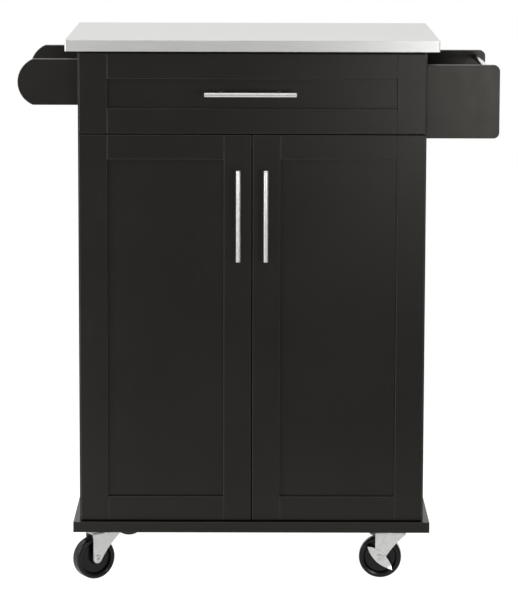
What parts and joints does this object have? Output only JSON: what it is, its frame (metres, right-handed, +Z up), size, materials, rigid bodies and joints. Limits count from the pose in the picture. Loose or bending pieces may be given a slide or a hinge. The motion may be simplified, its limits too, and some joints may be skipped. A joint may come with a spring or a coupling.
{
  "type": "kitchen island cart",
  "caption": "Rolling kitchen cart with a steel-skinned worktop, full-width drawer, a pair of framed doors over a shelf, towel rail on one side and spice rack on the other.",
  "frame": {"origin": "on the floor, under the middle of the whole cart's box, racks and handles included", "axes": "+X to the right as seen from the front, towards the spice rack; +Y to the back, so that drawer and doors open towards -Y; +Z up"},
  "size_m": [0.8054, 0.472, 0.92],
  "materials": {
    "black_lacquer": "satin black-brown lacquer on fibreboard",
    "brushed_steel_top": "stainless sheet, brushed along its length",
    "handle_steel": "satin nickel on steel",
    "zinc_plate": "bright zinc plating on pressed steel",
    "hardware_steel": "nickel-plated steel hardware",
    "wheel_plastic": "moulded black plastic, satin",
    "core_board": "raw fibreboard",
    "drawer_board": "clear-lacquered birch plywood",
    "hardboard": "thin black-faced hardboard",
    "catch_plastic": "brown moulded plastic"
  },
  "bodies": {
    "cabinet": {"base_board": "black_lacquer", "left_side_panel": "black_lacquer", "right_side_panel": "black_lacquer", "back_panel": "hardboard", "drawer_divider": "black_lacquer", "top_rails": "black_lacquer", "adjustable_shelf": "black_lacquer", "shelf_pins": "hardware_steel", "worktop_core": "core_board", "worktop_skin": "brushed_steel_top", "cabinet_runners": "hardware_steel", "hinge_arms": "hardware_steel", "hinge_mounting_plates": "hardware_steel", "magnetic_catch": "catch_plastic", "caster_plates": "zinc_plate", "caster_screws": "hardware_steel", "towel_rack_front_panel": "black_lacquer", "towel_rack_rear_panel": "black_lacquer", "towel_rail": "handle_steel", "spice_rack_front_panel": "black_lacquer", "spice_rack_rear_panel": "black_lacquer", "spice_rack_shelf": "black_lacquer", "spice_rack_rail": "handle_steel", "rack_bolts": "hardware_steel"},
    "drawer": {"drawer_front_stiles": "black_lacquer", "drawer_front_rails": "black_lacquer", "drawer_front_panel": "black_lacquer", "drawer_box_front": "drawer_board", "drawer_box_sides": "drawer_board", "drawer_box_back": "drawer_board", "drawer_box_bottom": "drawer_board", "drawer_runners": "hardware_steel", "drawer_handle": "handle_steel", "drawer_handle_screws": "hardware_steel"},
    "left_door": {"left_door_stiles": "black_lacquer", "left_door_rails": "black_lacquer", "left_door_panel": "black_lacquer", "left_door_handle": "handle_steel", "left_door_hinge_cups": "hardware_steel", "left_door_strike_plate": "hardware_steel"},
    "right_door": {"right_door_stiles": "black_lacquer", "right_door_rails": "black_lacquer", "right_door_panel": "black_lacquer", "right_door_handle": "handle_steel", "right_door_hinge_cups": "hardware_steel", "right_door_strike_plate": "hardware_steel"},
    "front_left_swivel": {"front_left_caster_fork": "zinc_plate", "front_left_caster_axle": "zinc_plate"},
    "front_left_wheel": {"front_left_caster_wheel": "wheel_plastic"},
    "front_right_swivel": {"front_right_caster_fork": "zinc_plate", "front_right_caster_axle": "zinc_plate"},
    "front_right_wheel": {"front_right_caster_wheel": "wheel_plastic"},
    "front_right_brake": {"front_right_brake_lever": "zinc_plate"},
    "rear_left_swivel": {"rear_left_caster_fork": "zinc_plate", "rear_left_caster_axle": "zinc_plate"},
    "rear_left_wheel": {"rear_left_caster_wheel": "wheel_plastic"},
    "rear_left_brake": {"rear_left_brake_lever": "zinc_plate"},
    "rear_right_swivel": {"rear_right_caster_fork": "zinc_plate", "rear_right_caster_axle": "zinc_plate"},
    "rear_right_wheel": {"rear_right_caster_wheel": "wheel_plastic"}
  },
  "joints": [
    {"name": "drawer_slide", "type": "slide", "parent": "cabinet", "child": "drawer", "axis": [0, -1, 0], "range_m": [0, 0.26]},
    {"name": "left_door_hinge", "type": "hinge", "parent": "cabinet", "child": "left_door", "pos_m": [-0.29025, -0.1945, 0.435], "axis": [0, 0, -1], "range_deg": [0, 105]},
    {"name": "right_door_hinge", "type": "hinge", "parent": "cabinet", "child": "right_door", "pos_m": [0.26975, -0.1945, 0.435], "axis": [0, 0, 1], "range_deg": [0, 105]},
    {"name": "front_left_caster_swivel", "type": "hinge", "parent": "cabinet", "child": "front_left_swivel", "pos_m": [-0.25625, -0.16, 0.08], "axis": [0, 0, 1], "continuous": true},
    {"name": "front_left_wheel_spin", "type": "hinge", "parent": "front_left_swivel", "child": "front_left_wheel", "pos_m": [-0.27854, -0.17339, 0.036], "axis": [-0.515, 0.8572, 0], "continuous": true},
    {"name": "front_right_caster_swivel", "type": "hinge", "parent": "cabinet", "child": "front_right_swivel", "pos_m": [0.23575, -0.16, 0.08], "axis": [0, 0, 1], "continuous": true},
    {"name": "front_right_wheel_spin", "type": "hinge", "parent": "front_right_swivel", "child": "front_right_wheel", "pos_m": [0.20979, -0.15864, 0.036], "axis": [0.0523, 0.9986, 0], "continuous": true},
    {"name": "front_right_brake_turn", "type": "hinge", "parent": "front_right_swivel", "child": "front_right_brake", "pos_m": [0.20979, -0.15864, 0.036], "axis": [-0.0523, -0.9986, 0], "range_deg": [0, 35]},
    {"name": "rear_left_caster_swivel", "type": "hinge", "parent": "cabinet", "child": "rear_left_swivel", "pos_m": [-0.25625, 0.176, 0.08], "axis": [0, 0, 1], "continuous": true},
    {"name": "rear_left_wheel_spin", "type": "hinge", "parent": "rear_left_swivel", "child": "rear_left_wheel", "pos_m": [-0.23182, 0.16711, 0.036], "axis": [-0.342, -0.9397, 0], "continuous": true},
    {"name": "rear_left_brake_turn", "type": "hinge", "parent": "rear_left_swivel", "child": "rear_left_brake", "pos_m": [-0.23182, 0.16711, 0.036], "axis": [0.342, 0.9397, 0], "range_deg": [0, 35]},
    {"name": "rear_right_caster_swivel", "type": "hinge", "parent": "cabinet", "child": "rear_right_swivel", "pos_m": [0.23575, 0.176, 0.08], "axis": [0, 0, 1], "continuous": true},
    {"name": "rear_right_wheel_spin", "type": "hinge", "parent": "rear_right_swivel", "child": "rear_right_wheel", "pos_m": [0.22159, 0.15419, 0.036], "axis": [-0.8387, 0.5446, 0], "continuous": true}
  ]
}
